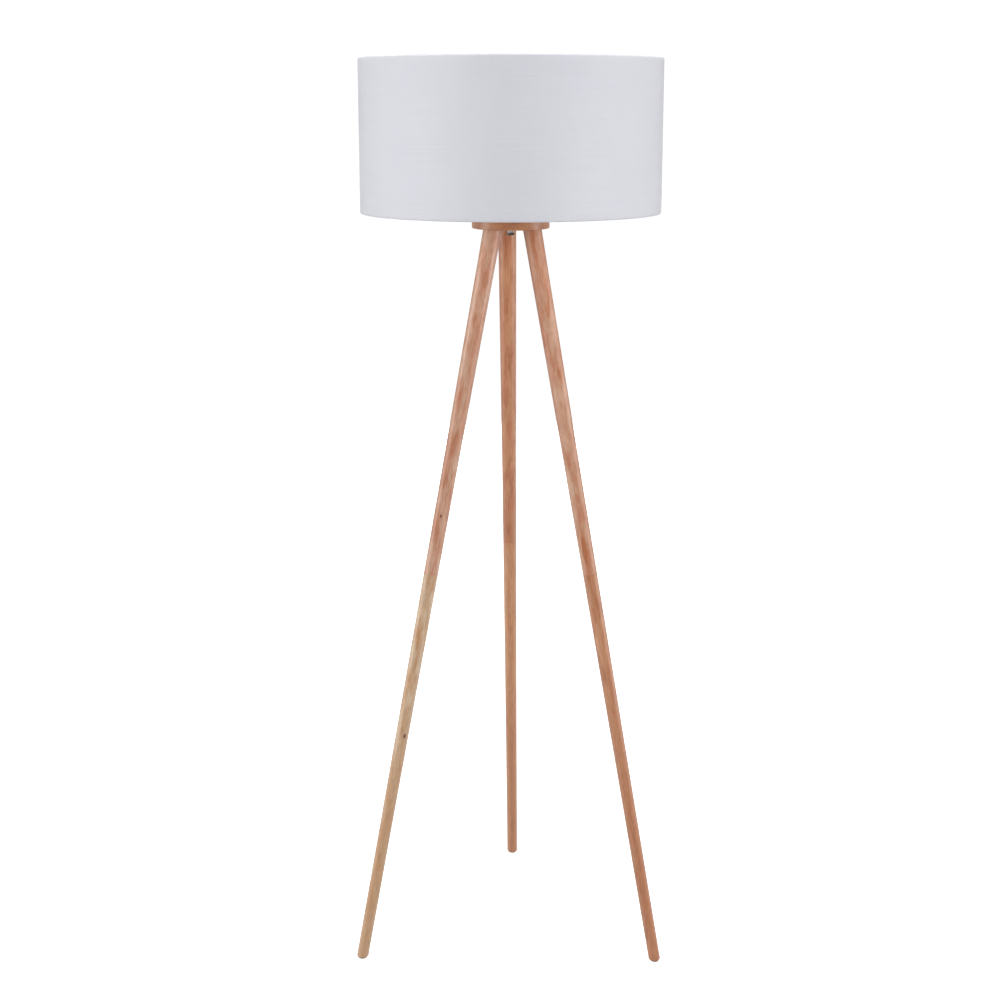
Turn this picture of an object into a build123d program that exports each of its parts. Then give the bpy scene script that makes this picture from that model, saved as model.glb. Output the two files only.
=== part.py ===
from build123d import *
import math
import os

# A floor lamp: three turned wooden legs screwed into a round wooden plate, a threaded pipe through
# the plate that carries a bulb holder, and a drum shade clamped on the holder.
# Millimetres. The origin is on the floor under the middle of the lamp, +Z is up and -Y is the front.

# ---- driving dimensions ----
LAMP_HEIGHT = 1530.0
SHADE_DIAMETER = 500.0
SHADE_HEIGHT = 250.0

PLATE_RADIUS = 65.0
PLATE_THICKNESS = 20.0
PLATE_UNDERSIDE = 1254.5
PLATE_EDGE_ROUND = 2.0

LEG_AZIMUTHS = {"rear": 90.0, "left": 210.0, "right": 330.0}
LEG_CIRCLE_AT_PLATE = 38.4      # radius of the circle that the leg axes cross at the plate's underside
LEG_CIRCLE_AT_FLOOR = 295.15
LEG_TURN_AT_PLATE = 8.5         # degrees that the axis is turned about Z from its azimuth, up and down
LEG_TURN_AT_FLOOR = -1.3
LEG_TOP_RADIUS = 15.5
LEG_MID_RADIUS = 12.0
LEG_FOOT_RADIUS = 10.1
LEG_JOINT_SHARE = 0.46          # the two halves of a leg meet at this share of its length from the top
LEG_JOINT_CHAMFER = 0.4
LEG_FOOT_ROUND = 3.0
SEAT_SKIN = 0.8                 # least depth of a leg's square end below the plate's underside
SEAT_CLEARANCE = 0.2

BOLT_RADIUS = 3.9
INSERT_RADIUS = 5.5
INSERT_LENGTH = 10.0
JOINT_INSERT_LENGTH = 16.0
BOLT_IN_WOOD = 35.0
FIT = 0.05                      # radial clearance between pieces of one body

PAD_RADIUS = 7.5
PAD_THICKNESS = 1.5

PIPE_RADIUS = 5.0
PIPE_BORE_RADIUS = 3.9
PIPE_BELOW_PLATE = 10.2
BUSH_RADIUS = 6.4
BUSH_LIP = 1.5                  # how far the bush stands past the end of the pipe
BUSH_GRIP = 2.0                 # how far it reaches up the pipe
NUT_ACROSS_FLATS = 14.0
NUT_HEIGHT = 3.0
LOWER_WASHER_RADIUS = 8.5
UPPER_WASHER_RADIUS = 11.0
WASHER_THICKNESS = 1.2

HOLDER_RADIUS = 19.75
HOLDER_WALL = 1.85
HOLDER_CAP_HEIGHT = 30.0
HOLDER_SKIRT_HEIGHT = 36.0
HOLDER_FLANGE_RADIUS = 23.0
HOLDER_FLANGE_THICKNESS = 3.0
CORE_RADIUS = 17.7
CORE_BOTTOM = 21.0              # heights in the holder are counted from the foot of its cap
CORE_TOP = 32.0
SHELL_WALL = 0.35
TERMINAL_OFFSET = 8.0

CAP_RADIUS = 13.15              # screw cap of the bulb
THREAD_FIT = 0.07               # radial running clearance of the bulb's cap in the screw shell
BULB_LENGTH = 108.0
BULB_RADIUS = 30.0
BULB_CAP_LENGTH = 26.0
BULB_NECK_RADIUS = 13.4
GLOBE_CENTRE = 78.0             # height above the contact of the centre of the globe
GLOBE_RIM = 62.0
GLOBE_WALL = 1.2

CLAMP_RING_RADIUS = 28.0
CLAMP_RING_HEIGHT = 10.0
CLAMP_RING_GRIPS = 24
FACE_GAP = 0.1                  # gap between flat faces of different bodies

FABRIC_THICKNESS = 0.5
LINER_THICKNESS = 0.5
LAYER_GAP = 0.05
SHADE_WIRE_RADIUS = 1.75
HEM_DEPTH = 17.0
ARM_WIRE_RADIUS = 1.6
ARM_AZIMUTHS = (30.0, 150.0, 270.0)
ARM_NOTCH_CLEARANCE = 0.4
HUB_HOLE_RADIUS = 20.6
HUB_RADIUS = 30.0
HUB_THICKNESS = 1.6

# ---- places worked out from them ----
PLATE_TOP = PLATE_UNDERSIDE + PLATE_THICKNESS
SHADE_RADIUS = SHADE_DIAMETER / 2
SHADE_BOTTOM = LAMP_HEIGHT - SHADE_HEIGHT
HOLDER_FOOT = PLATE_TOP + 5.0
PIPE_BOTTOM = PLATE_UNDERSIDE - PIPE_BELOW_PLATE
PIPE_TOP = HOLDER_FOOT + 8.5
SKIRT_FOOT = HOLDER_FOOT + HOLDER_CAP_HEIGHT
FLANGE_TOP = SKIRT_FOOT + HOLDER_FLANGE_THICKNESS
SKIRT_TOP = SKIRT_FOOT + HOLDER_SKIRT_HEIGHT
SHELL_RADIUS = CAP_RADIUS + THREAD_FIT
CONTACT_FOOT = HOLDER_FOOT + CORE_TOP + 4.0
HUB_BOTTOM = FLANGE_TOP + FACE_GAP
HUB_TOP = HUB_BOTTOM + HUB_THICKNESS
CLAMP_RING_BOTTOM = HUB_TOP + FACE_GAP

LINER_OUTER = SHADE_RADIUS - FABRIC_THICKNESS - LAYER_GAP
LINER_INNER = LINER_OUTER - LINER_THICKNESS
SHADE_WIRE_CIRCLE = LINER_INNER - LAYER_GAP - SHADE_WIRE_RADIUS
FOLD_INNER_RADIUS = (SHADE_RADIUS - FABRIC_THICKNESS - (SHADE_WIRE_CIRCLE - SHADE_WIRE_RADIUS - LAYER_GAP)) / 2
FOLD_OUTER_RADIUS = FOLD_INNER_RADIUS + FABRIC_THICKNESS
FOLD_CENTRE = SHADE_RADIUS - FOLD_OUTER_RADIUS


def turned(*outline):
    """A solid of revolution about Z from its outline of (radius, height) points."""
    return revolve(make_face(Polyline(*[(r, 0, z) for r, z in outline], close=True)), Axis.Z)


def tube(outer, inner, bottom, top):
    """A straight ring or tube about Z."""
    return turned((inner, bottom), (outer, bottom), (outer, top), (inner, top))


def rod(radius, bottom, top):
    """A straight round bar about Z."""
    return Pos(0, 0, bottom) * extrude(Circle(radius), top - bottom)


def hex_nut(bottom):
    """A nut on the lamp pipe, with its edges eased."""
    blank = Pos(0, 0, bottom) * extrude(RegularPolygon(NUT_ACROSS_FLATS / 2, 6, major_radius=False), NUT_HEIGHT)
    corner = NUT_ACROSS_FLATS / 2 + 0.9
    flat = NUT_ACROSS_FLATS / 2 - 0.2
    easing = turned(
        (0, bottom), (flat, bottom), (corner, bottom + 0.7),
        (corner, bottom + NUT_HEIGHT - 0.7), (flat, bottom + NUT_HEIGHT), (0, bottom + NUT_HEIGHT),
    )
    return (blank & easing) - rod(PIPE_RADIUS + FIT, bottom - 1, bottom + NUT_HEIGHT + 1)


def group(solids):
    """Equal loose pieces that share one node."""
    return Compound(children=list(solids))


# ---- the legs ----
def on_circle(radius, turn, height):
    angle = math.radians(turn)
    return Vector(radius * math.cos(angle), radius * math.sin(angle), height)


LEG_TOP_POINT = on_circle(LEG_CIRCLE_AT_PLATE, LEG_TURN_AT_PLATE, PLATE_UNDERSIDE)
LEG_FLOOR_POINT = on_circle(LEG_CIRCLE_AT_FLOOR, LEG_TURN_AT_FLOOR, 0)
LEG_AXIS = (LEG_TOP_POINT - LEG_FLOOR_POINT).normalized()
LEG_LENGTH = (LEG_TOP_POINT - LEG_FLOOR_POINT).length
LEG_LEAN = math.acos(LEG_AXIS.Z)
LEG_PLACE = Plane(origin=LEG_TOP_POINT, z_dir=LEG_AXIS).location
SEAT_DEPTH = (SEAT_SKIN + LEG_TOP_RADIUS * math.sin(LEG_LEAN)) / math.cos(LEG_LEAN)
JOINT_AT = -LEG_JOINT_SHARE * LEG_LENGTH
FOOT_RUN_OUT = 12.0             # length of the blank below the floor, before the foot is cut
FOOT_CONE = 70.0                # length of the blank's end that is a plain cone


def leg_radius(height):
    """Radius of a leg at a height along its axis: a smooth taper through the top, the middle and the foot."""
    share = -height / LEG_LENGTH
    top, middle, foot = LEG_TOP_RADIUS, LEG_MID_RADIUS, LEG_FOOT_RADIUS
    return top + share * (4 * middle - 3 * top - foot) + share ** 2 * (2 * top - 4 * middle + 2 * foot)


def turned_leg(top, bottom, end):
    """Part of a leg as turned, in the leg's frame: +Z up along its axis, 0 at the plate's underside.

    Its curved side runs from an eased edge at top down to bottom, then straight to end, a (radius, height).
    """
    high = top - LEG_JOINT_CHAMFER
    side = Spline(*[(leg_radius(height), 0, height) for height in (high, (high + bottom) / 2, bottom)])
    rest = Polyline(
        (leg_radius(bottom), 0, bottom), (end[0], 0, end[1]), (0, 0, end[1]), (0, 0, top),
        (leg_radius(high) - LEG_JOINT_CHAMFER, 0, top), (leg_radius(high), 0, high))
    return revolve(make_face([side, rest]), Axis.Z)


def upper_leg():
    end = leg_radius(JOINT_AT) - LEG_JOINT_CHAMFER, JOINT_AT
    half = turned_leg(SEAT_DEPTH, JOINT_AT + LEG_JOINT_CHAMFER, end)
    half -= rod(BOLT_RADIUS + FIT, SEAT_DEPTH - BOLT_IN_WOOD - 2, SEAT_DEPTH + 1)
    half -= rod(INSERT_RADIUS + FIT, JOINT_AT - 1, JOINT_AT + JOINT_INSERT_LENGTH)
    return LEG_PLACE * half


def lower_leg():
    """The lower half: a blank that runs past the floor is cut level above its pad, and its rim is rounded."""
    low = -LEG_LENGTH - FOOT_RUN_OUT
    half = turned_leg(JOINT_AT, low + FOOT_CONE, (leg_radius(low), low))
    half -= rod(BOLT_RADIUS + FIT, JOINT_AT - BOLT_IN_WOOD - 2, JOINT_AT + 1)
    placed = LEG_PLACE * half
    placed -= Pos(LEG_FLOOR_POINT.X, LEG_FLOOR_POINT.Y, PAD_THICKNESS - 50) * Box(120, 120, 100)
    rim = placed.edges().filter_by_position(Axis.Z, PAD_THICKNESS - 0.01, PAD_THICKNESS + 0.01)
    return fillet(rim, LEG_FOOT_ROUND)


def plate_insert():
    return LEG_PLACE * tube(INSERT_RADIUS, BOLT_RADIUS + FIT, SEAT_DEPTH, SEAT_DEPTH + INSERT_LENGTH)


def joint_insert():
    return LEG_PLACE * tube(INSERT_RADIUS, BOLT_RADIUS + FIT, JOINT_AT, JOINT_AT + JOINT_INSERT_LENGTH)


def top_bolt():
    return LEG_PLACE * rod(BOLT_RADIUS, SEAT_DEPTH - BOLT_IN_WOOD, SEAT_DEPTH + INSERT_LENGTH - 1)


def joint_bolt():
    return LEG_PLACE * rod(BOLT_RADIUS, JOINT_AT - BOLT_IN_WOOD, JOINT_AT + JOINT_INSERT_LENGTH - 1)


def foot_pad():
    centre = LEG_FLOOR_POINT + LEG_AXIS * (PAD_THICKNESS / LEG_AXIS.Z)
    return Pos(centre.X, centre.Y, 0) * rod(PAD_RADIUS, 0, PAD_THICKNESS)


def at_leg(azimuth, solid):
    return Rot(0, 0, azimuth) * solid


# ---- the plate and the pipe through it ----
def top_plate():
    disc = rod(PLATE_RADIUS, PLATE_UNDERSIDE, PLATE_TOP)
    disc = fillet(disc.edges(), PLATE_EDGE_ROUND)
    disc -= rod(PIPE_RADIUS + 0.3, PLATE_UNDERSIDE - 1, PLATE_TOP + 1)
    seat = rod(LEG_TOP_RADIUS + SEAT_CLEARANCE, -20, SEAT_DEPTH)
    seat += rod(INSERT_RADIUS + FIT, 0, SEAT_DEPTH + INSERT_LENGTH)
    for azimuth in LEG_AZIMUTHS.values():
        disc -= at_leg(azimuth, LEG_PLACE * seat)
    return disc


def outlet_bush():
    """Insulating bush on the lower end of the pipe, where the lead comes out."""
    top, bottom = PIPE_BOTTOM + BUSH_GRIP, PIPE_BOTTOM - BUSH_LIP
    return turned(
        (PIPE_RADIUS + FIT, top), (BUSH_RADIUS, top), (BUSH_RADIUS, bottom + 1.2), (5.6, bottom),
        (4.8, bottom), (4.3, bottom + 0.6), (4.3, PIPE_BOTTOM - 0.1), (PIPE_RADIUS + FIT, PIPE_BOTTOM - 0.1),
    )


# ---- the bulb holder ----
def holder_cap():
    """Domed lower half of the holder, with the threaded collar that takes the pipe."""
    foot, inside = HOLDER_FOOT, HOLDER_RADIUS - HOLDER_WALL
    cap = turned(
        (PIPE_RADIUS + FIT, foot), (7.5, foot), (7.5, foot + 7), (10, foot + 9.5), (17, foot + 14),
        (HOLDER_RADIUS, foot + 18), (HOLDER_RADIUS, SKIRT_FOOT), (inside, SKIRT_FOOT),
        (inside, foot + 19), (15.6, foot + 15.6), (9, foot + 11.4), (PIPE_RADIUS + FIT, foot + 9.4),
    )
    return cap - Pos(0, 0, foot + 3.5) * Rot(90, 0, 0) * rod(1.55, 0, 12)


def lock_screw():
    """Grub screw that stops the cap from turning on the pipe."""
    blank = rod(1.5, PIPE_RADIUS + FIT, PIPE_RADIUS + 5)
    slot = Pos(0, 0, PIPE_RADIUS + 5) * Box(0.5, 4, 1.6)
    return Pos(0, 0, HOLDER_FOOT + 3.5) * Rot(90, 0, 0) * (blank - slot)


def terminal_places():
    return Pos(TERMINAL_OFFSET, 0, 0), Pos(-TERMINAL_OFFSET, 0, 0)


def holder_core():
    """Insulating block that holds the contacts apart."""
    core = rod(CORE_RADIUS, HOLDER_FOOT + CORE_BOTTOM, HOLDER_FOOT + CORE_TOP)
    for place in terminal_places():
        core -= place * Pos(0, 0, HOLDER_FOOT + CORE_BOTTOM + 3.45) * Box(7.1, 9.1, 7.1)
        core -= place * rod(1.25, HOLDER_FOOT + CORE_BOTTOM, HOLDER_FOOT + CORE_TOP + 1)
    return core


def terminal_blocks():
    height = HOLDER_FOOT + CORE_BOTTOM + 3.4
    block = Pos(0, 0, height) * Box(7, 9, 7)
    block -= Pos(0, 2, height) * Rot(0, 90, 0) * rod(1.3, -5, 5)
    block -= Pos(0, 2, 0) * rod(1.35, height - 5, height)
    block -= rod(1.25, height, height + 5)
    return group(place * block for place in terminal_places())


def terminal_screws():
    top = HOLDER_FOOT + CORE_BOTTOM + 2.0
    screw = Pos(0, 2, 0) * (rod(1.3, top - 5.4, top) + rod(2.1, top - 5.4, top - 2.2))
    screw -= Pos(0, 2, top - 5.4) * Box(0.6, 5, 1.4)
    return group(place * screw for place in terminal_places())


def contact_rivets():
    top = HOLDER_FOOT + CORE_TOP
    rivet = rod(1.2, top - 6, top + 0.5) + rod(2.0, top + 0.5, top + 1.2)
    return group(place * rivet for place in terminal_places())


def rivet_hole():
    return rod(1.25, HOLDER_FOOT + CORE_TOP - 1, HOLDER_FOOT + CORE_TOP + 2)


def screw_shell():
    """Metal sleeve that takes the bulb's cap, with the tab that is riveted to one terminal."""
    bottom = HOLDER_FOOT + CORE_TOP
    outer = SHELL_RADIUS + SHELL_WALL
    sleeve = tube(outer, SHELL_RADIUS, bottom, bottom + 25)
    tab = Pos(-(outer + 5.5) / 2, 0, bottom + 0.25) * Box(outer - 5.5, 5, 0.5)
    tab &= rod(outer, bottom, bottom + 1)
    return sleeve + tab - Pos(-TERMINAL_OFFSET, 0, 0) * rivet_hole()


def centre_contact():
    """Springy strip that rises from its rivet to the middle of the bulb's cap."""
    bottom, top = HOLDER_FOOT + CORE_TOP, CONTACT_FOOT - FACE_GAP
    outline = Polyline(
        (10.8, 0, bottom), (10.8, 0, bottom + 0.5), (5.6, 0, bottom + 0.5), (2.2, 0, top),
        (-2.6, 0, top), (-2.6, 0, top - 0.5), (2.0, 0, top - 0.5), (5.3, 0, bottom), close=True,
    )
    strip = extrude(make_face(outline), 2.25, dir=(0, 1, 0), both=True)
    return strip - Pos(TERMINAL_OFFSET, 0, 0) * rivet_hole()


def holder_skirt():
    """Upper half of the holder: a shoulder that carries the shade and a threaded sleeve."""
    inside = HOLDER_RADIUS - HOLDER_WALL
    lip = SHELL_RADIUS + 1.1
    return turned(
        (inside, SKIRT_FOOT), (HOLDER_FLANGE_RADIUS - 0.6, SKIRT_FOOT), (HOLDER_FLANGE_RADIUS, SKIRT_FOOT + 0.6),
        (HOLDER_FLANGE_RADIUS, FLANGE_TOP), (HOLDER_RADIUS, FLANGE_TOP), (HOLDER_RADIUS, SKIRT_TOP - 1),
        (HOLDER_RADIUS - 1, SKIRT_TOP), (lip, SKIRT_TOP), (lip, SKIRT_TOP - 2), (inside, SKIRT_TOP - 4),
    )


def clamp_ring():
    """Threaded ring that clamps the shade's hub on the holder's shoulder."""
    hole = HOLDER_RADIUS + 0.08
    bottom, top = CLAMP_RING_BOTTOM, CLAMP_RING_BOTTOM + CLAMP_RING_HEIGHT
    grip = CLAMP_RING_RADIUS - 2.0
    ring = turned(
        (hole, bottom), (CLAMP_RING_RADIUS, bottom), (CLAMP_RING_RADIUS, bottom + 2), (grip, bottom + 3),
        (grip, top - 1), (grip - 1, top), (hole, top),
    )
    flute = Pos(grip + 0.9, 0, 0) * rod(1.6, bottom + 3, top + 1)
    for index in range(CLAMP_RING_GRIPS):
        ring -= Rot(0, 0, 360 / CLAMP_RING_GRIPS * index) * flute
    return ring


# ---- the shade ----
def hem_side(centre, away):
    """Half of the cover's section, from the outer wall round the wire to the hem; away is +1 at the top."""
    inner_wall = FOLD_CENTRE - FOLD_INNER_RADIUS
    hem_face = LINER_INNER - 2 * LAYER_GAP

    def at(radius, down):
        return (radius, 0, centre - away * down)

    outer_arc = ThreePointArc(
        at(SHADE_RADIUS, 0), at(FOLD_CENTRE, -FOLD_OUTER_RADIUS), at(FOLD_CENTRE - FOLD_OUTER_RADIUS, 0))
    hem = Polyline(
        at(inner_wall - FABRIC_THICKNESS, 0), at(inner_wall - FABRIC_THICKNESS, 1.5),
        at(hem_face - FABRIC_THICKNESS, 11), at(hem_face - FABRIC_THICKNESS, HEM_DEPTH),
        at(hem_face, HEM_DEPTH), at(hem_face, 11), at(inner_wall, 1.5), at(inner_wall, 0))
    inner_arc = ThreePointArc(
        at(inner_wall, 0), at(FOLD_CENTRE, -FOLD_INNER_RADIUS), at(FOLD_CENTRE + FOLD_INNER_RADIUS, 0))
    return outer_arc, hem, inner_arc


def wire_height(away):
    return LAMP_HEIGHT - FOLD_OUTER_RADIUS if away > 0 else SHADE_BOTTOM + FOLD_OUTER_RADIUS


def shade_wire(away):
    return Pos(0, 0, wire_height(away)) * Torus(SHADE_WIRE_CIRCLE, SHADE_WIRE_RADIUS)


def fabric_cover():
    """The cloth: one wall, folded inwards over both wires, with a notch in the hem at each arm."""
    edges = []
    walls = {}
    for away in (1, -1):
        outer_arc, hem, inner_arc = hem_side(wire_height(away), away)
        edges += [outer_arc, hem, inner_arc]
        walls[away] = (outer_arc @ 0, inner_arc @ 1)
    edges += [Line(walls[1][0], walls[-1][0]), Line(walls[1][1], walls[-1][1])]
    cover = revolve(make_face(edges), Axis.Z)
    notch = Pos(0, 0, wire_height(-1)) * Rot(0, 90, 0) * rod(
        ARM_WIRE_RADIUS + ARM_NOTCH_CLEARANCE, SHADE_WIRE_CIRCLE - 8, SHADE_WIRE_CIRCLE - 1)
    for azimuth in ARM_AZIMUTHS:
        cover -= Rot(0, 0, azimuth) * notch
    return cover


def liner():
    return tube(LINER_OUTER, LINER_INNER, wire_height(-1), wire_height(1))


def shade_hub():
    return tube(HUB_RADIUS, HUB_HOLE_RADIUS, HUB_BOTTOM, HUB_TOP)


def shade_arm():
    """Bent wire from the lower wire of the shade, up and in to the underside of the hub."""
    low, high = wire_height(-1), HUB_BOTTOM - ARM_WIRE_RADIUS + 0.4
    path = FilletPolyline(
        (SHADE_WIRE_CIRCLE, 0, low), (228, 0, low), (200, 0, high), (HUB_HOLE_RADIUS + 3.4, 0, high), radius=14)
    wire = sweep(Plane(origin=path @ 0, z_dir=path % 0) * Circle(ARM_WIRE_RADIUS), path=path)
    return wire - shade_hub() - shade_wire(-1)


# ---- the bulb ----
def bulb_contact():
    foot = CONTACT_FOOT
    return turned((0, foot), (2.2, foot), (4.4, foot + 0.6), (4.8, foot + 1.2), (0, foot + 1.2))


def bulb_insulator():
    foot = CONTACT_FOOT + 1.2
    return turned((0, foot), (5.0, foot), (11.6, foot + 2.6), (11.6, foot + 4), (0, foot + 4))


def bulb_cap():
    """Metal screw cap, drawn in over the insulator."""
    foot, top, wall = CONTACT_FOOT + 3.0, CONTACT_FOOT + BULB_CAP_LENGTH, 0.3
    return turned(
        (11.65, foot + 0.2), (12.1, foot), (CAP_RADIUS, foot + 1.4), (CAP_RADIUS, top),
        (CAP_RADIUS - wall, top), (CAP_RADIUS - wall, foot + 1.6), (11.65, foot + 0.8),
    )


def bulb_housing():
    """Plastic neck between the cap and the globe."""
    foot, rim = CONTACT_FOOT + BULB_CAP_LENGTH, CONTACT_FOOT + GLOBE_RIM
    top_radius = math.sqrt(BULB_RADIUS ** 2 - (GLOBE_CENTRE - GLOBE_RIM) ** 2)
    outside = Spline((BULB_NECK_RADIUS, 0, foot + 3), (18.0, 0, foot + 18), (top_radius, 0, rim),
                     tangents=((0, 0, 1), (0.55, 0, 1)))
    inside = Spline((BULB_NECK_RADIUS - 1.6, 0, foot + 3), (16.2, 0, foot + 18.6), (top_radius - 1.9, 0, rim),
                    tangents=((0, 0, 1), (0.55, 0, 1)))
    neck = CAP_RADIUS - 0.3 - FIT
    low = Polyline(outside @ 0, (BULB_NECK_RADIUS, 0, foot), (neck, 0, foot), (neck, 0, foot - 6),
                   (neck - 1.3, 0, foot - 6), inside @ 0)
    return revolve(make_face([outside, Line(outside @ 1, inside @ 1), inside, low]), Axis.Z)


def bulb_globe():
    """Opal dome on the housing."""
    centre = CONTACT_FOOT + GLOBE_CENTRE
    rim = CONTACT_FOOT + GLOBE_RIM
    dome = Pos(0, 0, centre) * (Sphere(BULB_RADIUS) - Sphere(BULB_RADIUS - GLOBE_WALL))
    return dome - Pos(0, 0, rim - 25) * Box(90, 90, 50)


def led_board():
    """Round board with a ring of light chips."""
    bottom = CONTACT_FOOT + GLOBE_RIM
    board = rod(23.0, bottom, bottom + 1.2)
    for index in range(8):
        board += Rot(0, 0, 45 * index) * Pos(15, 0, bottom + 1.2 + 0.4) * Box(3, 3, 0.8)
    return board


parts = {
    "top_plate": top_plate(),
    "plate_inserts": group(at_leg(azimuth, plate_insert()) for azimuth in LEG_AZIMUTHS.values()),
    "leg_joint_inserts": group(at_leg(azimuth, joint_insert()) for azimuth in LEG_AZIMUTHS.values()),
    "lamp_pipe": tube(PIPE_RADIUS, PIPE_BORE_RADIUS, PIPE_BOTTOM, PIPE_TOP),
    "outlet_bush": outlet_bush(),
    "lower_washer": tube(LOWER_WASHER_RADIUS, PIPE_RADIUS + FIT, PLATE_UNDERSIDE - WASHER_THICKNESS, PLATE_UNDERSIDE),
    "lower_nut": hex_nut(PLATE_UNDERSIDE - WASHER_THICKNESS - NUT_HEIGHT),
    "upper_washer": tube(UPPER_WASHER_RADIUS, PIPE_RADIUS + FIT, PLATE_TOP, PLATE_TOP + WASHER_THICKNESS),
    "upper_nut": hex_nut(PLATE_TOP + WASHER_THICKNESS),
    "holder_cap": holder_cap(),
    "lock_screw": lock_screw(),
    "holder_core": holder_core(),
    "terminal_blocks": terminal_blocks(),
    "terminal_screws": terminal_screws(),
    "contact_rivets": contact_rivets(),
    "screw_shell": screw_shell(),
    "centre_contact": centre_contact(),
    "holder_skirt": holder_skirt(),
    "clamp_ring": clamp_ring(),
    "fabric_cover": fabric_cover(),
    "shade_liner": liner(),
    "top_wire": shade_wire(1),
    "bottom_wire": shade_wire(-1),
    "shade_hub": shade_hub(),
    "bulb_contact": bulb_contact(),
    "bulb_insulator": bulb_insulator(),
    "bulb_cap": bulb_cap(),
    "bulb_housing": bulb_housing(),
    "bulb_globe": bulb_globe(),
    "led_board": led_board(),
}
for name, azimuth in LEG_AZIMUTHS.items():
    parts[f"upper_leg_{name}"] = at_leg(azimuth, upper_leg())
    parts[f"lower_leg_{name}"] = at_leg(azimuth, lower_leg())
    parts[f"top_bolt_{name}"] = at_leg(azimuth, top_bolt())
    parts[f"joint_bolt_{name}"] = at_leg(azimuth, joint_bolt())
    parts[f"foot_pad_{name}"] = at_leg(azimuth, foot_pad())
for number, azimuth in enumerate(ARM_AZIMUTHS, start=1):
    parts[f"shade_arm_{number}"] = Rot(0, 0, azimuth) * shade_arm()

os.makedirs("parts", exist_ok=True)
for node, shape in parts.items():
    export_step(shape, f"parts/{node}.step")
print(len(parts), "nodes")
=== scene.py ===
import math

import bpy
from mathutils import Matrix, Vector, noise


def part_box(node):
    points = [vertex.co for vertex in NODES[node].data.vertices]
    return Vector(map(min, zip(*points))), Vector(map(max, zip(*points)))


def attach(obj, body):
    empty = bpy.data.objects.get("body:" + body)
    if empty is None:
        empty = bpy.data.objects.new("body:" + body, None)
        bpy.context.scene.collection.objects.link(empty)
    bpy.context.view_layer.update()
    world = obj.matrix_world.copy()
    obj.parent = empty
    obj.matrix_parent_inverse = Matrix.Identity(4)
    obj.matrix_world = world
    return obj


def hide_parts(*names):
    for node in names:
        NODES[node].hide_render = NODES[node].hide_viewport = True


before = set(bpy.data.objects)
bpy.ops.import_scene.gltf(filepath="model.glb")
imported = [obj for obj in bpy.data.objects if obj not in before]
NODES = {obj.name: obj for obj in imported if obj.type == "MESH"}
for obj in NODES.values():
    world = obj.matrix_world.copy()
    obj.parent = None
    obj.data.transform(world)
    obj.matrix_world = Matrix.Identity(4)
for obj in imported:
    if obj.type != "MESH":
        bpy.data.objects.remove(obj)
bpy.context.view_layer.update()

# ---- sizes, in metres, in the frame of the CAD model ----
MM = 0.001
TURN = 2 * math.pi

LEG_AZIMUTHS = {"rear": 90, "left": 210, "right": 330}
LEG_CIRCLE_AT_PLATE, LEG_CIRCLE_AT_FLOOR = 38.4 * MM, 295.15 * MM
LEG_TURN_AT_PLATE, LEG_TURN_AT_FLOOR = 8.5, -1.3

PLATE_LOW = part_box("top_plate")[0]
COVER_LOW, COVER_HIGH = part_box("fabric_cover")
SHADE_RADIUS = COVER_HIGH.x
SHADE_BOTTOM, SHADE_TOP = COVER_LOW.z, COVER_HIGH.z
ARM_AZIMUTHS = (30, 150, 270)
SEAM_AZIMUTH = 90

BULB_PITCH = 3.62 * MM
PIPE_PITCH = 1.0 * MM
SKIRT_PITCH = 2.0 * MM
CAP_RIBS = 48
RING_FLUTES = 24

# ---- light and camera ----
SURROUND_LIGHT = 0.14       # strength of the surround on the lamp
SURROUND_SEEN = 1.05        # strength of the surround as the camera sees it
SIDE_POWER = 47             # watts, as are the next two
FRONT_POWER = 135
OVERHEAD_POWER = 55
FLOOR_GLOW = 0.93

CAMERA_PLACE = (-17.8 * MM, -2.894, 1.4555)
CAMERA_PITCH = 0.2264       # radians below the horizon
CAMERA_FOCAL = 1.7166       # focal length as a share of the sensor's width


# ---- meshes ----
def mesh_piece(name, vertices, faces, body, slot, material, smooth=True):
    """A mesh object that rides on a body and takes the given material; slot is not used."""
    mesh = bpy.data.meshes.new(name)
    mesh.from_pydata(vertices, [], faces)
    mesh.validate()
    for face in mesh.polygons:
        face.use_smooth = smooth
    mesh.materials.append(material)
    piece = bpy.data.objects.new(name, mesh)
    bpy.context.scene.collection.objects.link(piece)
    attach(piece, body)
    return piece


def polar(radius, angle, height):
    return radius * math.cos(angle), radius * math.sin(angle), height


def lathe(outline, steps, shape=None):
    """Vertices and faces of a closed outline of (radius, height) points turned about Z.

    shape(radius, height, angle) may change the radius, as flutes and threads do.
    """
    count = len(outline)
    vertices, faces = [], []
    for step in range(steps):
        angle = TURN * step / steps
        for radius, height in outline:
            if shape:
                radius = shape(radius, height, angle)
            vertices.append(polar(radius, angle, height))
    for step in range(steps):
        here, there = step * count, (step + 1) % steps * count
        for i in range(count):
            j = (i + 1) % count
            faces.append((here + i, there + i, there + j, here + j))
    return vertices, faces


def between(start, end, count):
    """Evenly spaced (radius, height) points from start towards end, without the end."""
    return [tuple(a + (b - a) * i / count for a, b in zip(start, end)) for i in range(count)]


def bent(centre, radius, first, last, count):
    """Points of an arc of an outline, angles in degrees from the outward direction."""
    angles = [math.radians(first + (last - first) * i / count) for i in range(count + 1)]
    return [(centre[0] + radius * math.cos(a), centre[1] + radius * math.sin(a)) for a in angles]


def eased(low, high, value):
    """Smooth step from 0 at low to 1 at high."""
    share = min(max((value - low) / (high - low), 0), 1)
    return share * share * (3 - 2 * share)


def crisp_edges(piece, angle=35):
    """Keeps the edges of a turned piece sharp in the shading."""
    with bpy.context.temp_override(object=piece, selected_editable_objects=[piece]):
        bpy.ops.object.shade_smooth_by_angle(angle=math.radians(angle))


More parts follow.
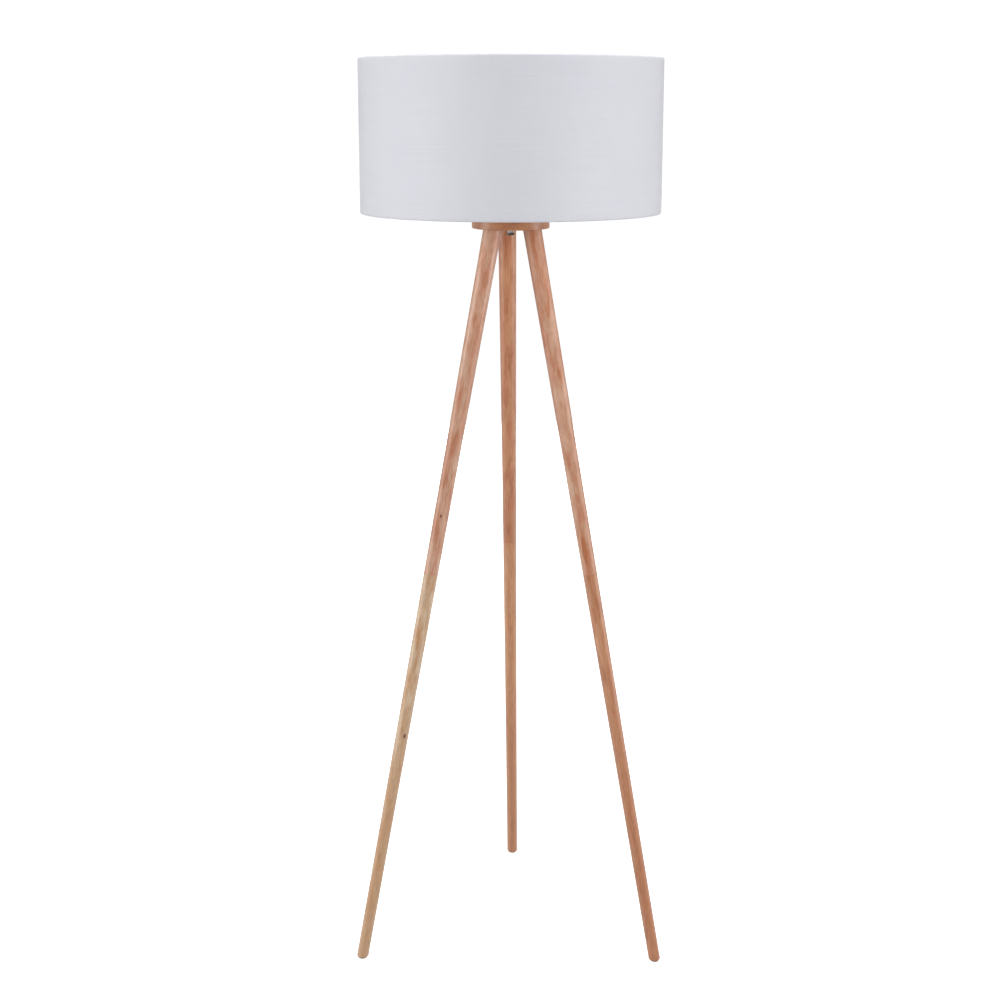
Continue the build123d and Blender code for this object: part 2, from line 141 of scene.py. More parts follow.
# ---- materials ----
def paint(red, green, blue):
    """A display colour, 0 to 255, as the linear colour that shaders take."""
    def linear(value):
        value /= 255
        return value / 12.92 if value <= 0.04045 else ((value + 0.055) / 1.055) ** 2.4
    return linear(red), linear(green), linear(blue), 1


class Recipe:
    """A node material being made. Its methods add nodes and return their output sockets."""

    def __init__(self, name, **constants):
        self.material = bpy.data.materials.new(name)
        self.material.use_nodes = True
        self.tree = self.material.node_tree
        self.surface = self.tree.nodes["Principled BSDF"]
        for socket, value in constants.items():
            self.surface.inputs[socket.replace("_", " ")].default_value = value

    def node(self, kind, inputs=(), output=0, **settings):
        made = self.tree.nodes.new(kind)
        for key, value in settings.items():
            setattr(made, key, value)
        for key, value in dict(inputs).items():
            self.feed(made.inputs[key], value)
        return made.outputs[output]

    def feed(self, socket, value):
        if isinstance(value, bpy.types.NodeSocket):
            self.tree.links.new(value, socket)
        elif value is not None:
            socket.default_value = value

    def math(self, operation, first, second=None, third=None, clamp=False):
        inputs = {0: first, 1: second, 2: third}
        return self.node("ShaderNodeMath", inputs, operation=operation, use_clamp=clamp)

    def vector(self, operation, first, second=None, output=0):
        return self.node("ShaderNodeVectorMath", {0: first, 1: second}, output, operation=operation)

    def coordinates(self, place=None):
        """Object coordinates, in metres, in the frame of a 4x4 matrix."""
        here = self.node("ShaderNodeTexCoord", output="Object")
        if place is None:
            return here
        inputs = {"Vector": here, "Location": place.to_translation(), "Rotation": place.to_euler()}
        return self.node("ShaderNodeMapping", inputs, vector_type="TEXTURE")

    def noise(self, at, stretch, detail=2.0, roughness=0.5, seed=0.0):
        """Noise of 0 to 1 with features about 1/stretch metres long each way."""
        where = self.vector("MULTIPLY", at, stretch)
        inputs = {"Vector": where, "W": seed, "Scale": 1.0, "Detail": detail, "Roughness": roughness}
        return self.node("ShaderNodeTexNoise", inputs, noise_dimensions="4D")

    def ramp(self, value, *stops):
        made = self.tree.nodes.new("ShaderNodeValToRGB")
        elements = made.color_ramp.elements
        while len(elements) < len(stops):
            elements.new(0.5)
        for element, (position, colour) in zip(elements, stops):
            element.position = position
            element.color = colour if isinstance(colour, tuple) else (colour, colour, colour, 1)
        self.feed(made.inputs[0], value)
        return made.outputs[0]

    def mix(self, share, first, second, blend="MIX"):
        inputs = {0: share, 6: first, 7: second}
        return self.node("ShaderNodeMix", inputs, 2, data_type="RGBA", blend_type=blend)

    def scaled(self, colour, *factors):
        """The colour times each grey factor."""
        for factor in factors:
            colour = self.vector("SCALE", colour[:3] if isinstance(colour, tuple) else colour)
            self.feed(colour.node.inputs["Scale"], factor)
        return colour

    def finish(self, colour=None, roughness=None, height=None, depth=0.0002, strength=0.5):
        """Connects colour, roughness and a height for bump, whose full step is depth metres."""
        self.feed(self.surface.inputs["Base Color"], colour)
        self.feed(self.surface.inputs["Roughness"], roughness)
        if height is not None:
            inputs = {"Height": height, "Distance": depth, "Strength": strength}
            self.feed(self.surface.inputs["Normal"], self.node("ShaderNodeBump", inputs))
        return self.material


def wood(name, place, tones, pith, seed, ring=2.6 * MM, knots=(), stains=()):
    """Lacquered hardwood cut along the Z axis of place: tones are pale, main and deep colours.

    pith is where the tree's centre lay, in metres across the grain. Each knot is ((x, y, z), radius)
    and each stain ((x, y, z), (rx, ry, rz)), a redder patch that fades out around those radii.
    """
    recipe = Recipe(name, Coat_Weight=0.22, Coat_Roughness=0.3, Specular_IOR_Level=0.45)
    at = recipe.coordinates(place)
    pale, main, deep = tones
    stain_tone, knot_tone = paint(166, 92, 44), paint(88, 48, 30)

    knot_mask = 0.0
    for centre, radius in knots:
        offset = recipe.vector("SUBTRACT", at, centre)
        offset = recipe.vector("MULTIPLY", offset, (1.0, 1.0, 0.6))
        distance = recipe.vector("LENGTH", offset, output="Value")
        spot = recipe.math("EXPONENT", recipe.math("DIVIDE", distance, -radius))
        knot_mask = recipe.math("ADD", spot, knot_mask)

    drift = recipe.noise(at, (12, 12, 3.2), detail=2, seed=seed)
    wobble = recipe.noise(at, (80, 80, 6), detail=2, seed=seed + 3)
    shifted = recipe.vector("SUBTRACT", at, (*pith, 0))
    flat = recipe.vector("MULTIPLY", shifted, (1, 1, 0.03))
    radius = recipe.vector("LENGTH", flat, output="Value")
    radius = recipe.math("MULTIPLY_ADD", drift, 26 * MM, radius)
    radius = recipe.math("MULTIPLY_ADD", wobble, 1.6 * MM, radius)
    if knots:
        radius = recipe.math("MULTIPLY_ADD", knot_mask, 6 * MM, radius)
    year = recipe.math("FRACT", recipe.math("DIVIDE", radius, ring))
    rings = recipe.ramp(year, (0, 0.1), (0.55, 0.35), (0.86, 1.0), (0.93, 0.85), (1, 0.1))

    broad = recipe.noise(at, (30, 30, 4), detail=2, seed=seed + 7)
    patch = recipe.noise(at, (85, 85, 19), detail=3, roughness=0.6, seed=seed + 11)
    fleck = recipe.noise(at, (280, 280, 55), detail=2, roughness=0.6, seed=seed + 19)
    fibre = recipe.noise(at, (900, 900, 22), detail=2, roughness=0.6, seed=seed + 13)
    pores = recipe.noise(at, (1900, 1900, 70), detail=1, seed=seed + 17)
    pore_mask = recipe.ramp(pores, (0.6, 0.0), (0.68, 1.0))

    colour = recipe.mix(recipe.ramp(broad, (0.38, 0.0), (0.62, 1.0)), pale, main)
    patch_share = recipe.ramp(patch, (0.42, 0.0), (0.64, 1.0))
    colour = recipe.mix(patch_share, colour, deep)
    # Painted shade: from 0.8 m down each leg's axis to its foot, the colour is pulled towards the deep tone.
    # This stands in for light falling off near the floor.
    along = recipe.node("ShaderNodeSeparateXYZ", {0: at}, output=2)
    down = recipe.math("MULTIPLY", along, -1)
    colour = recipe.mix(recipe.ramp(down, (0.8, 0.0), (1.15, 0.6)), colour, deep)
    for centre, reach in stains:
        offset = recipe.vector("SUBTRACT", at, centre)
        offset = recipe.vector("DIVIDE", offset, reach)
        distance = recipe.vector("LENGTH", offset, output="Value")
        distance = recipe.math("MULTIPLY_ADD", patch, 0.9, distance)
        share = recipe.ramp(distance, (0.8, 0.85), (1.8, 0.0))
        colour = recipe.mix(share, colour, stain_tone)
    ring_factor = recipe.math("MULTIPLY_ADD", rings, -0.17, 1.06)
    fleck_factor = recipe.math("MULTIPLY_ADD", fleck, 0.44, 0.78)
    fibre_factor = recipe.math("MULTIPLY_ADD", fibre, 0.4, 0.8)
    pore_factor = recipe.math("MULTIPLY_ADD", pore_mask, -0.32, 1.0)
    colour = recipe.scaled(colour, ring_factor, fleck_factor, fibre_factor, pore_factor)
    if knots:
        heart = recipe.ramp(knot_mask, (0.2, 0.0), (0.5, 1.0))
        colour = recipe.mix(heart, colour, knot_tone)

    roughness = recipe.math("MULTIPLY_ADD", fibre, 0.16, 0.36)
    height = recipe.math("MULTIPLY_ADD", pore_mask, -0.7, fibre)
    return recipe.finish(colour, roughness, height, depth=0.12 * MM, strength=0.35)


def cloth(name):
    """Fine plain weave of slightly uneven threads. It reads metres along and up the cloth as UV."""
    recipe = Recipe(name, Sheen_Weight=0.25, Sheen_Roughness=0.45, Specular_IOR_Level=0.25)
    along = recipe.node("ShaderNodeUVMap", uv_map="cloth")
    sway = recipe.noise(along, (160, 160, 1), detail=1)
    split = recipe.node("ShaderNodeSeparateXYZ", {0: along})
    across, up = split, split.node.outputs[1]
    pitch = 0.62 * MM

    def thread(distance):
        swayed = recipe.math("MULTIPLY_ADD", sway, 0.5 * MM, distance)
        return recipe.math("SINE", recipe.math("MULTIPLY", swayed, math.pi / pitch))

    warp, weft = thread(across), thread(up)
    over = recipe.math("MULTIPLY", warp, weft)
    over = recipe.math("MULTIPLY_ADD", over, 2.0, 0.5, clamp=True)
    warp_bulge = recipe.math("SUBTRACT", 1.0, recipe.math("MULTIPLY", warp, warp))
    weft_bulge = recipe.math("SUBTRACT", 1.0, recipe.math("MULTIPLY", weft, weft))
    gap = recipe.math("SUBTRACT", weft_bulge, warp_bulge)
    height = recipe.math("MULTIPLY_ADD", over, gap, warp_bulge)

    weft_slubs = recipe.noise(along, (7, 1500, 1), detail=2, seed=3)
    warp_slubs = recipe.noise(along, (1500, 9, 1), detail=2, seed=5)
    bands = recipe.noise(along, (3, 520, 1), detail=1, seed=8)
    cloudy = recipe.noise(along, (14, 11, 1), detail=2, seed=13)
    # Painted shade: the weave's height scales the colour, so the gaps between threads are darker than the
    # thread crowns.
    shade = recipe.math("MULTIPLY_ADD", height, 0.24, 0.83)
    slub = recipe.math("MULTIPLY_ADD", weft_slubs, 0.14, 0.93)
    slub_up = recipe.math("MULTIPLY_ADD", warp_slubs, 0.08, 0.96)
    band = recipe.math("MULTIPLY_ADD", bands, 0.04, 0.98)
    tint = recipe.mix(cloudy, paint(230, 232, 240), paint(236, 236, 242))
    colour = recipe.scaled(tint, shade, slub, slub_up, band)
    height = recipe.math("MULTIPLY_ADD", weft_slubs, 0.8, height)
    roughness = recipe.math("MULTIPLY_ADD", height, -0.08, 0.92)
    return recipe.finish(colour, roughness, height, depth=0.2 * MM, strength=0.6)


def styrene(name):
    """White plastic sheet behind the cloth, faintly mottled and slightly translucent."""
    recipe = Recipe(name, Specular_IOR_Level=0.35, Subsurface_Weight=0.15)
    recipe.surface.inputs["Subsurface Radius"].default_value = (0.004, 0.004, 0.004)
    at = recipe.coordinates()
    mottle = recipe.noise(at, (60, 60, 60), detail=3)
    grain = recipe.noise(at, (1600, 1600, 1600), detail=2)
    colour = recipe.mix(mottle, paint(232, 232, 231), paint(241, 240, 237))
    roughness = recipe.math("MULTIPLY_ADD", mottle, 0.2, 0.4)
    return recipe.finish(colour, roughness, grain, depth=0.05 * MM, strength=0.3)


def metal(name, tone, stain, rough, grain=(900, 900, 60)):
    """Plated or turned metal with faint tool marks and a slightly stained surface."""
    recipe = Recipe(name, Metallic=1.0)
    at = recipe.coordinates()
    marks = recipe.noise(at, grain, detail=3, roughness=0.65)
    blotch = recipe.noise(at, (140, 140, 140), detail=3, seed=4)
    colour = recipe.mix(recipe.ramp(blotch, (0.42, 0.0), (0.75, 1.0)), tone, stain)
    roughness = recipe.math("MULTIPLY_ADD", marks, 0.22, rough - 0.1)
    roughness = recipe.math("MULTIPLY_ADD", blotch, 0.12, roughness)
    return recipe.finish(colour, roughness, marks, depth=0.03 * MM, strength=0.35)


def moulded(name, tone, rough=0.42, subsurface=0.0, grain=1400):
    """Moulded plastic with a fine texture and slight unevenness."""
    recipe = Recipe(name, Subsurface_Weight=subsurface, Specular_IOR_Level=0.5)
    recipe.surface.inputs["Subsurface Radius"].default_value = (0.003, 0.003, 0.0025)
    at = recipe.coordinates()
    fine = recipe.noise(at, (grain, grain, grain), detail=2)
    soft = recipe.noise(at, (45, 45, 45), detail=3, seed=2)
    factor = recipe.math("MULTIPLY_ADD", soft, 0.08, 0.96)
    roughness = recipe.math("MULTIPLY_ADD", soft, 0.14, rough - 0.07)
    return recipe.finish(recipe.scaled(tone, factor), roughness, fine, depth=0.04 * MM, strength=0.3)


def powder_coat(name):
    """White paint over steel wire, with a soft orange-peel surface."""
    recipe = Recipe(name, Coat_Weight=0.2, Coat_Roughness=0.2)
    at = recipe.coordinates()
    peel = recipe.noise(at, (700, 700, 700), detail=1)
    wear = recipe.noise(at, (90, 90, 90), detail=4, seed=6)
    worn = recipe.ramp(wear, (0.6, 0.0), (0.8, 1.0))
    colour = recipe.mix(worn, paint(236, 235, 232), paint(219, 216, 209))
    roughness = recipe.math("MULTIPLY_ADD", wear, 0.2, 0.3)
    return recipe.finish(colour, roughness, peel, depth=0.08 * MM, strength=0.5)


def felt(name):
    """Pressed brown felt."""
    recipe = Recipe(name, Sheen_Weight=0.5, Sheen_Roughness=0.6, Specular_IOR_Level=0.1)
    at = recipe.coordinates()
    fibres = recipe.noise(at, (2600, 2600, 2600), detail=3, roughness=0.7)
    clumps = recipe.noise(at, (420, 420, 420), detail=2, seed=2)
    colour = recipe.mix(fibres, paint(70, 52, 40), paint(128, 101, 80))
    colour = recipe.scaled(colour, recipe.math("MULTIPLY_ADD", clumps, 0.4, 0.8))
    return recipe.finish(colour, 0.95, fibres, depth=0.3 * MM, strength=0.8)


def circuit_board(name):
    """White solder mask with yellow light chips, told apart by their height."""
    recipe = Recipe(name, Specular_IOR_Level=0.5)
    at = recipe.coordinates()
    height = recipe.node("ShaderNodeSeparateXYZ", {0: at}, output=2)
    chip_height = 0.79 * MM
    board_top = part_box("led_board")[1].z - chip_height
    chip = recipe.math("GREATER_THAN", height, board_top + 0.05 * MM)
    mask = recipe.noise(at, (300, 300, 300), detail=2)
    grid = recipe.noise(at, (900, 120, 40), detail=0, seed=9)
    track = recipe.ramp(grid, (0.56, 0.0), (0.58, 1.0))
    board = recipe.mix(recipe.math("MULTIPLY", track, 0.25), paint(236, 236, 232), paint(205, 208, 203))
    phosphor = recipe.mix(mask, paint(233, 205, 88), paint(240, 216, 120))
    return recipe.finish(recipe.mix(chip, board, phosphor), 0.4, mask, depth=0.03 * MM, strength=0.4)


# ---- wood: each piece has its own cut, and so its own grain and colour ----
def on_circle(radius, turn, height):
    return Vector(polar(radius, math.radians(turn), height))


def leg_place(azimuth):
    """The leg's frame: Z up along its axis, the origin where the axis meets the plate's underside."""
    top = on_circle(LEG_CIRCLE_AT_PLATE, azimuth + LEG_TURN_AT_PLATE, PLATE_LOW.z)
    floor = on_circle(LEG_CIRCLE_AT_FLOOR, azimuth + LEG_TURN_AT_FLOOR, 0)
    axis = (top - floor).normalized()
    return Matrix.Translation(top) @ axis.to_track_quat("Z", "Y").to_matrix().to_4x4()


WOOD = {
    "upper_leg_left": dict(
        tones=(paint(200, 160, 136), paint(190, 141, 114), paint(178, 114, 82)),
        pith=(0.05, 0.03), seed=1.0,
        knots=(((-10.9 * MM, 6.2 * MM, -486 * MM), 1.5 * MM),)),
    "upper_leg_right": dict(
        tones=(paint(206, 166, 139), paint(193, 143, 115), paint(180, 112, 78)),
        pith=(-0.04, 0.05), seed=2.0,
        stains=(((10 * MM, 4 * MM, -545 * MM), (9 * MM, 9 * MM, 75 * MM)),)),
    "upper_leg_rear": dict(
        tones=(paint(185, 131, 93), paint(174, 115, 78), paint(161, 96, 60)),
        pith=(0.02, -0.06), seed=3.0),
    "lower_leg_left": dict(
        tones=(paint(206, 179, 151), paint(195, 163, 132), paint(182, 138, 98)),
        pith=(-0.03, -0.05), seed=4.0,
        knots=(((-11 * MM, 0.6 * MM, -873 * MM), 2.2 * MM),)),
    "lower_leg_right": dict(
        tones=(paint(191, 138, 103), paint(182, 126, 90), paint(170, 108, 72)),
        pith=(0.06, -0.02), seed=5.0),
    "lower_leg_rear": dict(
        tones=(paint(195, 144, 105), paint(185, 131, 93), paint(175, 116, 78)),
        pith=(-0.05, 0.02), seed=6.0),
}


def dress_wood():
    for node, look in WOOD.items():
        place = leg_place(LEG_AZIMUTHS[node.split("_")[-1]])
        repaint(node, wood(node + "_wood", place, **look))
    along_x = Matrix.Rotation(math.pi / 2, 4, "Y")
    tones = paint(174, 115, 74), paint(160, 99, 62), paint(144, 82, 48)
    repaint("top_plate", wood("top_plate_wood", along_x, tones, (0.03, 0.09), 9.0, ring=3.2 * MM))


def repaint(node, material):
    """Gives a CAD node its finished material."""
    slots = NODES[node].data.materials
    slots.clear()
    slots.append(material)


# ---- the shade ----
def cover_path():
    """Middle line of the cloth from the upper hem over the wires to the lower hem, (radius, height)."""
    half = 0.25 * MM
    fold = 2.35 * MM
    wall = SHADE_RADIUS - half
    centre = wall - fold
    hem = 248.5 * MM
    top, bottom = SHADE_TOP - fold - half, SHADE_BOTTOM + fold + half
    upper = [(hem, top - 17 * MM), (hem, top - 13 * MM), (hem - 0.2 * MM, top - 10.5 * MM)]
    upper += [(centre - fold + 0.8 * MM, top - 3.4 * MM), (centre - fold + 0.1 * MM, top - 1.2 * MM)]
    upper += bent((centre, top), fold, 180, 0, 8)
    lower = [(r, bottom + top - z) for r, z in reversed(upper)]
    return upper + between((wall, top), (wall, bottom), 40)[1:] + lower


def drum(path, lap, thickness, seam, steps=540):
    """A sheet rolled into a drum whose ends overlap at the seam; UV are metres along and up the sheet."""
    lengths = [0.0]
    for (r0, z0), (r1, z1) in zip(path, path[1:]):
        lengths.append(lengths[-1] + math.hypot(r1 - r0, z1 - z0))
    wall_radius = max(r for r, z in path)
    lap_angle = lap / wall_radius
    total = TURN + lap_angle
    vertices, faces, uvs = [], [], []
    for step in range(steps + 1):
        turn = total * step / steps
        angle = math.radians(seam) - lap_angle / 2 + turn
        under = 1 - eased(lap_angle, lap_angle * 2.2, turn)
        for (radius, height), length in zip(path, lengths):
            ripple = noise.noise(Vector((12 * math.cos(angle), 12 * math.sin(angle), height * 9)))
            vertices.append(polar(radius - thickness * under + 0.06 * MM * ripple, angle, height))
            uvs.append((turn * wall_radius, length))
    count = len(path)
    for step in range(steps):
        for i in range(count - 1):
            a = step * count + i
            faces.append((a, a + 1, a + count + 1, a + count))
    return vertices, faces, uvs


def fabric_cover():
    """The cloth of the shade, with its lap at the back and a notch in the lower hem at each arm."""
    path = cover_path()
    lap, thickness = 12 * MM, 0.4 * MM
    vertices, faces, uvs = drum(path, lap, thickness, SEAM_AZIMUTH)
    notch = 2.4 * MM
    inner = SHADE_RADIUS - 4.2 * MM

    def is_notch(face):
        middle = sum((Vector(vertices[i]) for i in face), Vector()) / len(face)
        in_hem = SHADE_BOTTOM + 0.6 * MM <= middle.z <= SHADE_BOTTOM + 8 * MM
        if not in_hem or middle.xy.length > inner:
            return False
        return any(
            abs(middle.xy.length * math.sin(math.atan2(middle.y, middle.x) - math.radians(azimuth))) < notch
            and middle.xy.dot(Vector(polar(1, math.radians(azimuth), 0)).xy) > 0
            for azimuth in ARM_AZIMUTHS)

    faces = [face for face in faces if not is_notch(face)]
    piece = mesh_piece("drum_cloth", vertices, faces, "shade", "shade_cloth", cloth("shade_cloth_weave"))
    layer = piece.data.uv_layers.new(name="cloth")
    for loop in piece.data.loops:
        layer.data[loop.index].uv = uvs[loop.vertex_index]
    solid = piece.modifiers.new("thickness", "SOLIDIFY")
    solid.thickness = thickness
    solid.offset = 0
    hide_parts("fabric_cover")


def dress_shade():
    fabric_cover()
    repaint("shade_liner", styrene("liner_sheet"))
    white = powder_coat("wire_paint")
    for node in ["top_wire", "bottom_wire", "shade_hub"] + [f"shade_arm_{n}" for n in (1, 2, 3)]:
        repaint(node, white)


# ---- the holder, the pipe and the bulb ----
def threaded(pitch, depth, start, end, fade):
    """A shape for lathe: a right-handed round thread cut depth deep into the radii between two heights."""
    def shape(radius, height, angle):
        if not start <= height <= end:
            return radius
        wave = 0.5 - 0.5 * math.cos(TURN * (height / pitch - angle / TURN))
        run_in = eased(start, start + fade, height)
        run_out = 1 - eased(end - fade, end, height)
        return radius - depth * wave * run_in * run_out
    return shape


def lamp_pipe(material):
    low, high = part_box("lamp_pipe")
    outer, bore, ease = high.x, 3.9 * MM, 0.5 * MM
    rows = int((high.z - low.z) / PIPE_PITCH * 6)
    outline = between((outer, low.z + ease), (outer, high.z - ease), rows)
    outline += [(outer, high.z - ease), (outer - ease, high.z), (bore, high.z)]
    outline += [(bore, low.z), (outer - ease, low.z)]
    cut = threaded(PIPE_PITCH, 0.45 * MM, low.z + ease, high.z - ease, 0.6 * MM)

    def shape(radius, height, angle):
        return cut(radius, height, angle) if radius > 4.9 * MM else radius

    piece = mesh_piece("pipe_thread", *lathe(outline, 56, shape), "stand", "zinc_steel", material)
    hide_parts("lamp_pipe")


def holder_skirt(material):
    low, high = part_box("holder_skirt")
    foot, top = low.z, high.z
    outer, flange, inside, lip = 19.75 * MM, 23.0 * MM, 17.9 * MM, 14.32 * MM
    shoulder = foot + 3 * MM
    outline = [(inside, foot), (flange - 0.8 * MM, foot), (flange - 0.2 * MM, foot + 0.2 * MM)]
    outline += [(flange, foot + 0.7 * MM), (flange, shoulder - 0.3 * MM), (flange - 0.3 * MM, shoulder)]
    outline += [(outer + 0.3 * MM, shoulder), (outer, shoulder + 0.3 * MM)]
    outline += between((outer, shoulder + 1 * MM), (outer, top - 1.4 * MM), 120)
    outline += bent((outer - 1.2 * MM, top - 1.2 * MM), 1.2 * MM, 0, 90, 5)
    outline += bent((lip + 0.5 * MM, top - 0.5 * MM), 0.5 * MM, 90, 180, 4)
    outline += [(lip, top - 2 * MM), (inside, top - 4 * MM)]
    cut = threaded(SKIRT_PITCH, 0.55 * MM, shoulder + 1 * MM, top - 2 * MM, 2 * MM)

    def shape(radius, height, angle):
        return cut(radius, height, angle) if abs(radius - outer) < 0.01 * MM else radius

    piece = mesh_piece("skirt_thread", *lathe(outline, 96, shape), "stand", "holder_plastic", material)
    crisp_edges(piece)
    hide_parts("holder_skirt")


def holder_cap(material):
    """The holder's lower half, with grip ribs on its straight wall."""
    low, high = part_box("holder_cap")
    foot, top = low.z, high.z
    outer = high.x
    neck = [(5.05, 0), (7.1, 0), (7.5, 0.4), (7.5, 6.8), (8.0, 7.8)]
    bell = [(10, 9.5), (13.5, 11.6), (17, 14), (18.9, 16)]
    outline = [(r * MM, foot + z * MM) for r, z in neck + bell]
    outline += [(outer - 0.2 * MM, foot + 17.4 * MM)]
    outline += between((outer, foot + 18.4 * MM), (outer, top - 2.2 * MM), 8)
    outline += [(outer, top - 1.4 * MM), (outer, top - 0.3 * MM), (outer - 0.3 * MM, top)]
    inner = [(17.9, 30), (17.9, 19), (15.6, 15.6), (9, 11.4), (5.05, 9.4)]
    outline += [(r * MM, foot + z * MM) for r, z in inner]

    def shape(radius, height, angle):
        if radius < outer - 0.3 * MM:
            return radius
        run_in = eased(foot + 18 * MM, foot + 19.5 * MM, height)
        run_out = 1 - eased(top - 3 * MM, top - 2 * MM, height)
        groove = 0.5 + 0.5 * math.cos(CAP_RIBS * angle)
        return radius - 0.45 * MM * (run_in * run_out) * groove

    piece = mesh_piece("cap_ribs", *lathe(outline, 384, shape), "stand", "holder_plastic", material)
    crisp_edges(piece)
    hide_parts("holder_cap")


def clamp_ring(material):
    """The ring that clamps the shade, with finger flutes round its wall."""
    low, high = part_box("clamp_ring")
    bottom, top = low.z, high.z
    rim, grip, hole = high.x, high.x - 2 * MM, 19.83 * MM
    outline = [(hole, bottom + 0.4 * MM), (hole + 0.4 * MM, bottom), (rim - 0.5 * MM, bottom)]
    outline += bent((rim - 0.5 * MM, bottom + 0.5 * MM), 0.5 * MM, -60, 0, 3)
    outline += bent((rim - 0.6 * MM, bottom + 1.6 * MM), 0.6 * MM, 0, 80, 3)
    outline += [(grip + 0.3 * MM, bottom + 2.5 * MM), (grip, bottom + 3 * MM)]
    outline += between((grip, bottom + 3.4 * MM), (grip, top - 1.2 * MM), 6)
    outline += bent((grip - 1.2 * MM, top - 1.2 * MM), 1.2 * MM, 0, 90, 5)
    outline += [(hole + 0.4 * MM, top), (hole, top - 0.4 * MM)]

    def shape(radius, height, angle):
        if radius < grip - 1.3 * MM or height < bottom + 2.4 * MM:
            return radius
        flute = max(0.0, math.cos(RING_FLUTES * angle)) ** 0.8
        return radius - 1.1 * MM * flute * eased(bottom + 2.4 * MM, bottom + 4 * MM, height)

    piece = mesh_piece("ring_flutes", *lathe(outline, 432, shape), "clamp_ring", "holder_plastic", material)
    crisp_edges(piece, 50)
    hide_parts("clamp_ring")


def bulb_cap(material):
    low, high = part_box("bulb_cap")
    crest, wall = 13.1 * MM, 0.3 * MM
    bottom, top = low.z, high.z
    outside = [(11.7 * MM, bottom + 0.2 * MM), (12.1 * MM, bottom)]
    outside += bent((12.1 * MM, bottom + 1.0 * MM), 1.0 * MM, -90, 0, 4)
    outside += between((crest, bottom + 2 * MM), (crest, top), 72) + [(crest, top)]
    inside = [(r - wall, max(z, bottom + 0.5 * MM)) for r, z in reversed(outside[3:])]
    cut = threaded(BULB_PITCH, 0.95 * MM, bottom + 1 * MM, top, 1.5 * MM)
    piece = mesh_piece("cap_thread", *lathe(outside + inside, 96, cut), "bulb", "bulb_cap_metal", material)
    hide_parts("bulb_cap")


def dress_metal_and_plastic():
    zinc = metal("zinc_plate", paint(208, 210, 208), paint(176, 178, 176), 0.34)
    steel = metal("bolt_zinc", paint(196, 198, 198), paint(160, 160, 156), 0.38)
    brass = metal("stamped_brass", paint(216, 180, 104), paint(170, 132, 70), 0.3)
    plastic = moulded("holder_white", paint(228, 228, 224))
    for node in ("lower_washer", "lower_nut", "upper_washer", "upper_nut", "lock_screw"):
        repaint(node, zinc)
    leg_bolts = [f"{kind}_bolt_{leg}" for kind in ("top", "joint") for leg in LEG_AZIMUTHS]
    for node in ["terminal_screws", *leg_bolts]:
        repaint(node, steel)
    for node in ("plate_inserts", "leg_joint_inserts", "terminal_blocks", "contact_rivets", "centre_contact"):
        repaint(node, brass)
    lamp_pipe(zinc)
    repaint("screw_shell", brass)
    holder_cap(plastic)
    holder_skirt(plastic)
    clamp_ring(plastic)
    repaint("outlet_bush", moulded("bush_brown", paint(62, 46, 38), 0.4))
    repaint("holder_core", moulded("core_cream", paint(226, 220, 202), 0.6))
    pad = felt("foot_felt")
    for leg in LEG_AZIMUTHS:
        repaint(f"foot_pad_{leg}", pad)


def dress_bulb():
    bulb_cap(metal("rolled_cap", paint(205, 205, 202), paint(176, 174, 168), 0.28, grain=(120, 120, 1500)))
    repaint("bulb_contact", metal("solder_dot", paint(190, 190, 184), paint(150, 148, 140), 0.42))
    repaint("bulb_insulator", moulded("black_glass_ring", paint(24, 24, 26), 0.18))
    repaint("bulb_housing", moulded("bulb_white", paint(234, 234, 232), 0.4, subsurface=0.1))
    repaint("bulb_globe", moulded("opal_globe", paint(242, 242, 238), 0.3, subsurface=0.6, grain=500))
    repaint("led_board", circuit_board("led_board_mask"))


# ---- the stage, the light and the camera ----
def stage_material():
    glow = dict(Emission_Color=(1, 1, 1, 1), Emission_Strength=FLOOR_GLOW)
    recipe = Recipe("pale_floor", Specular_IOR_Level=0.1, **glow)
    at = recipe.coordinates()
    soft = recipe.noise(at, (0.8, 0.8, 0.8), detail=2)
    colour = recipe.mix(soft, paint(250, 250, 250), paint(252, 252, 252))
    return recipe.finish(colour, 0.9)


def floor():
    """A flat floor that glows white to match the surround and throws no light back on the lamp."""
    half = 30.0
    mesh = bpy.data.meshes.new("floor")
    corners = [(-half, -half, 0), (half, -half, 0), (half, half, 0), (-half, half, 0)]
    mesh.from_pydata(corners, [], [(0, 1, 2, 3)])
    mesh.materials.append(stage_material())
    piece = bpy.data.objects.new("floor", mesh)
    piece.visible_diffuse = False
    piece.visible_shadow = False
    bpy.context.scene.collection.objects.link(piece)


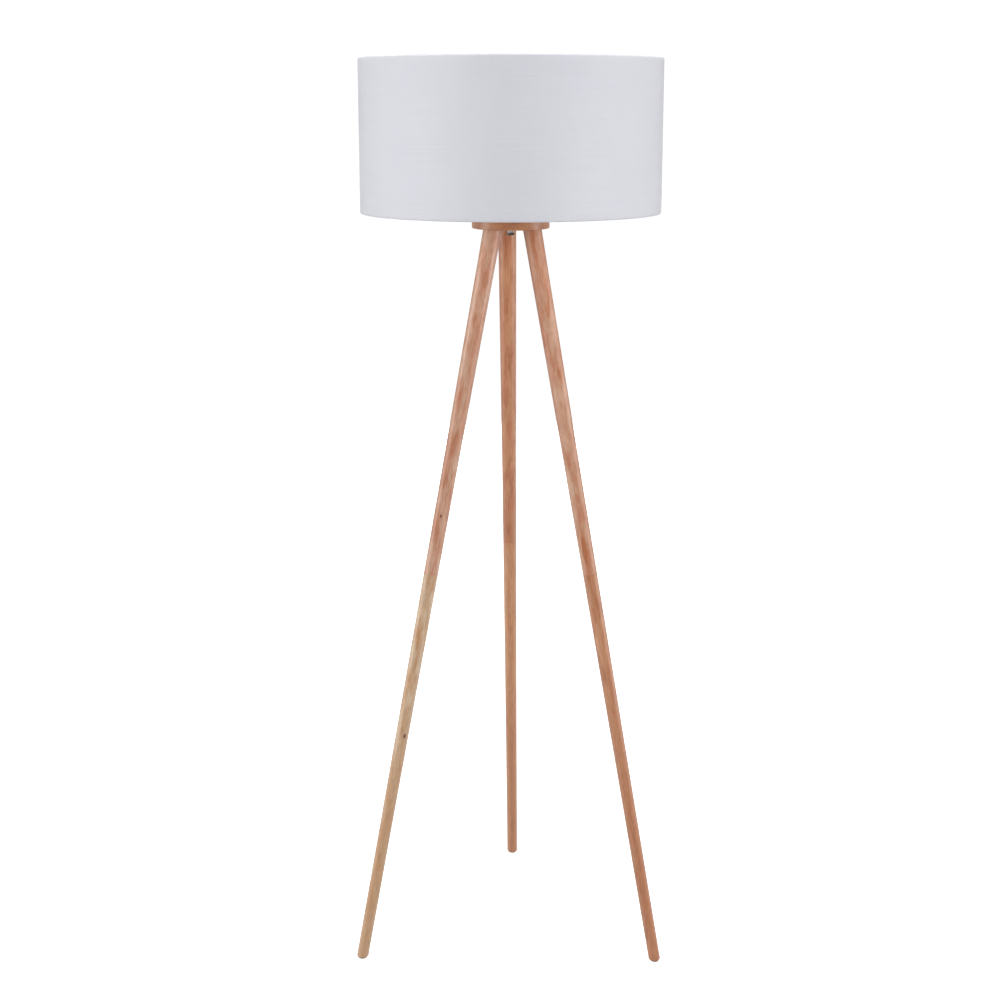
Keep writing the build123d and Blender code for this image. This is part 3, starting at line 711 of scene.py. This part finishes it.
def softbox(name, position, target, size, power, glossy=True):
    light = bpy.data.lights.new(name, "AREA")
    light.shape = "RECTANGLE"
    light.size, light.size_y = size
    light.energy = power
    lamp = bpy.data.objects.new(name, light)
    lamp.location = position
    lamp.visible_glossy = glossy
    lamp.rotation_euler = (Vector(target) - Vector(position)).to_track_quat("-Z", "Y").to_euler()
    bpy.context.scene.collection.objects.link(lamp)


def studio():
    """A white surround that looks brighter than it lights, and softboxes on all sides and above."""
    world = bpy.data.worlds.new("studio")
    bpy.context.scene.world = world
    world.use_nodes = True
    tree = world.node_tree
    surround = tree.nodes["Background"]
    surround.inputs["Color"].default_value = (1, 1, 1, 1)
    seen = tree.nodes.new("ShaderNodeLightPath")
    strength = tree.nodes.new("ShaderNodeMapRange")
    strength.inputs["To Min"].default_value = SURROUND_LIGHT
    strength.inputs["To Max"].default_value = SURROUND_SEEN
    tree.links.new(seen.outputs["Is Camera Ray"], strength.inputs["Value"])
    tree.links.new(strength.outputs["Result"], surround.inputs["Strength"])
    softbox("side_left", (-3.0, -0.5, 1.1), (0, 0, 1.0), (1.2, 1.8), SIDE_POWER)
    softbox("side_right", (3.0, -0.5, 1.1), (0, 0, 1.0), (1.2, 1.8), SIDE_POWER)
    softbox("front", (0, -5.0, 1.4), (0, 0, 1.0), (3.0, 2.0), FRONT_POWER, glossy=False)
    softbox("back", (0, 5.0, 1.4), (0, 0, 1.0), (3.0, 2.0), FRONT_POWER, glossy=False)
    softbox("overhead", (0, 0, 3.6), (0, 0, 0), (1.6, 1.6), OVERHEAD_POWER)
    bpy.context.scene.view_settings.view_transform = "Standard"


def camera():
    data = bpy.data.cameras.new("camera")
    data.sensor_width = 36
    data.lens = CAMERA_FOCAL * data.sensor_width
    eye = bpy.data.objects.new("camera", data)
    eye.location = CAMERA_PLACE
    eye.rotation_euler = (math.pi / 2 - CAMERA_PITCH, 0, 0)
    bpy.context.scene.collection.objects.link(eye)
    bpy.context.scene.camera = eye


camera()
studio()
floor()
dress_wood()
dress_shade()
dress_metal_and_plastic()
dress_bulb()
